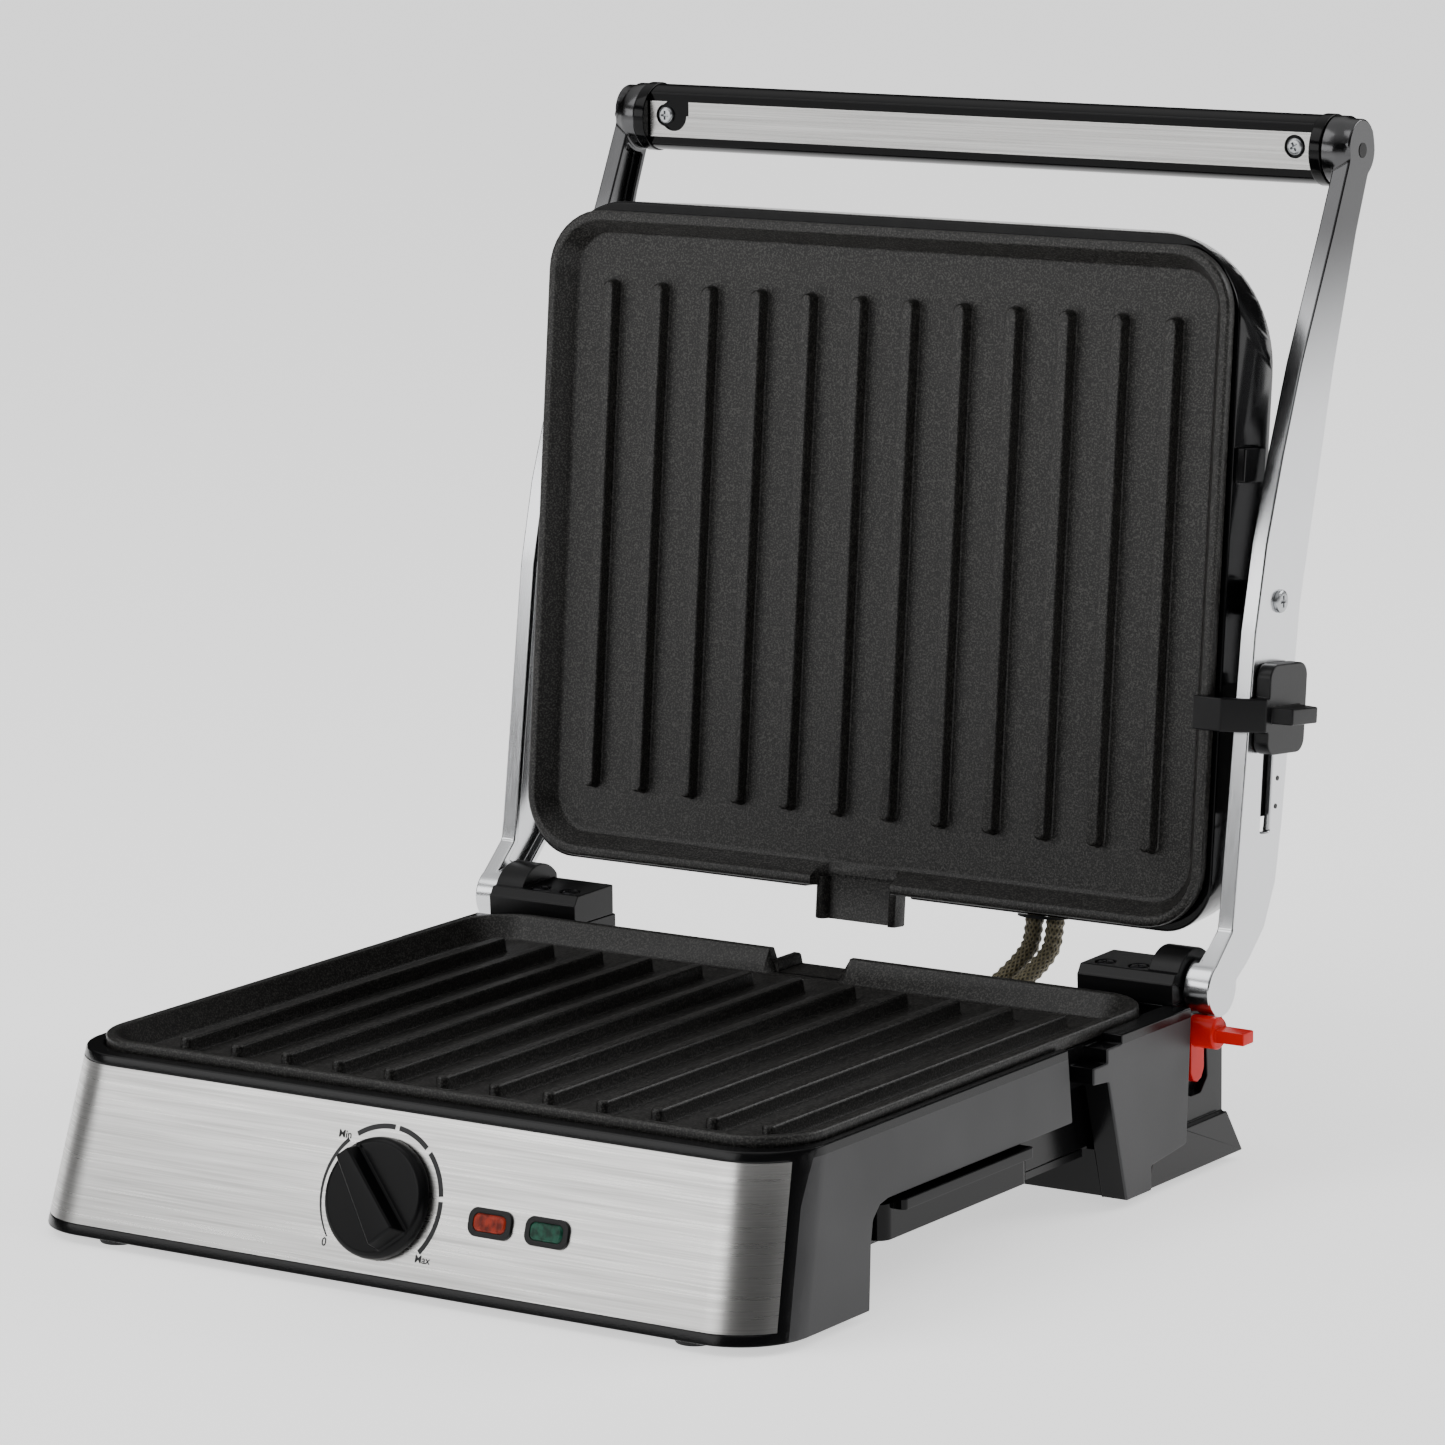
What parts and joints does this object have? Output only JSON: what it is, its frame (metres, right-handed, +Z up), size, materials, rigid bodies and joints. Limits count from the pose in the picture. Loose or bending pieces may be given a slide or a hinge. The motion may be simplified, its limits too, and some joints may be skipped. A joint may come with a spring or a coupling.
{
  "type": "contact grill",
  "caption": "Panini press standing open: ribbed lower and floating upper plates, curved arms with a bar handle, height catch, release lever, thermostat knob and pull-out drip tray.",
  "frame": {"origin": "bottom centre of the box round the open grill, on the surface it stands on", "axes": "+Z up, +Y to the back, +X to the right as seen from the front"},
  "size_m": [0.3202, 0.3892, 0.3517],
  "materials": {
    "dark_moulding": "fine-textured moulded",
    "black_moulding": "satin moulded",
    "gloss_black": "polished mould",
    "red_plastic": "semi-gloss moulded",
    "brushed_steel": "long-grain brushed",
    "plated_steel": "bright nickel plated",
    "zinc_screws": "clear zinc plated",
    "painted_sheet": "black stove enamel",
    "satin_aluminium": "die-cast, satin lacquered",
    "bright_aluminium": "bright rolled",
    "non_stick": "sprayed non-stick coating on a die-cast plate",
    "heater_sheath": "heat-darkened sheath",
    "ceramic": "glazed steatite",
    "lamp_glass": "clear",
    "red_lens": "clear tinted moulded",
    "green_lens": "clear tinted moulded",
    "rubber": "moulded",
    "braided_sleeve": "braided glass-fibre sleeving"
  },
  "bodies": {
    "base": {"lower_housing": "dark_moulding", "front_panel": "brushed_steel", "bottom_cover": "painted_sheet", "bottom_screws": "zinc_screws", "rubber_feet": "rubber", "hinge_block_right": "black_moulding", "hinge_block_left": "black_moulding", "hinge_block_screws": "zinc_screws", "thermostat": "plated_steel", "indicator_bezels": "black_moulding", "red_lens": "red_lens", "green_lens": "green_lens", "indicator_lamps": "lamp_glass", "lower_element": "heater_sheath", "lower_reflector": "bright_aluminium", "terminal_block": "ceramic", "cord_gland": "rubber", "grease_chute": "bright_aluminium", "tray_rails": "painted_sheet", "lever_spring": "plated_steel", "lower_grill_plate": "non_stick", "wiring_sleeves": "braided_sleeve"},
    "arms": {"arm_right": "satin_aluminium", "arm_left": "satin_aluminium", "hinge_pins": "plated_steel", "handle_bar": "black_moulding", "handle_strip": "brushed_steel", "handle_screws": "zinc_screws", "handle_end_rings": "black_moulding", "handle_bolts": "plated_steel"},
    "lid": {"lid_housing": "gloss_black", "lid_cover": "brushed_steel", "lid_cover_screws": "zinc_screws", "upper_grill_plate": "non_stick", "upper_reflector": "bright_aluminium", "upper_element": "heater_sheath", "thermal_cutout": "plated_steel", "lid_gland": "rubber", "pivot_screws": "zinc_screws", "pivot_bushes": "black_moulding"},
    "catch": {"height_catch": "black_moulding", "catch_shoe": "black_moulding", "catch_screw": "zinc_screws"},
    "lever": {"release_lever": "red_plastic"},
    "knob": {"control_knob": "black_moulding", "knob_shaft": "plated_steel"},
    "tray": {"drip_tray": "black_moulding"}
  },
  "joints": [
    {"name": "lid_hinge", "type": "hinge", "parent": "base", "child": "arms", "pos_m": [-0.0064, 0.0869, 0.0646], "axis": [1, 0, 0], "range_deg": [-81, 95.6], "deforming": ["wiring_sleeves"]},
    {"name": "lid_float", "type": "hinge", "parent": "arms", "child": "lid", "pos_m": [-0.0064, 0.125, 0.1917], "axis": [-1, 0, 0], "range_deg": [-5, 0]},
    {"name": "catch_slide", "type": "slide", "parent": "arms", "child": "catch", "axis": [0, 0.0976, 0.9952], "range_m": [-0.022, 0]},
    {"name": "lever_slide", "type": "slide", "parent": "base", "child": "lever", "axis": [0, 0, 1], "range_m": [-0.0045, 0], "stiffness_N_per_m": 250, "springref_m": 0.001, "deforming": ["lever_spring"]},
    {"name": "knob_turn", "type": "hinge", "parent": "base", "child": "knob", "pos_m": [-0.0104, -0.17962, 0.03], "axis": [0, -0.954, 0.2997], "range_deg": [-270, 0]},
    {"name": "tray_slide", "type": "slide", "parent": "base", "child": "tray", "axis": [1, 0, 0], "range_m": [0, 0.12]}
  ]
}
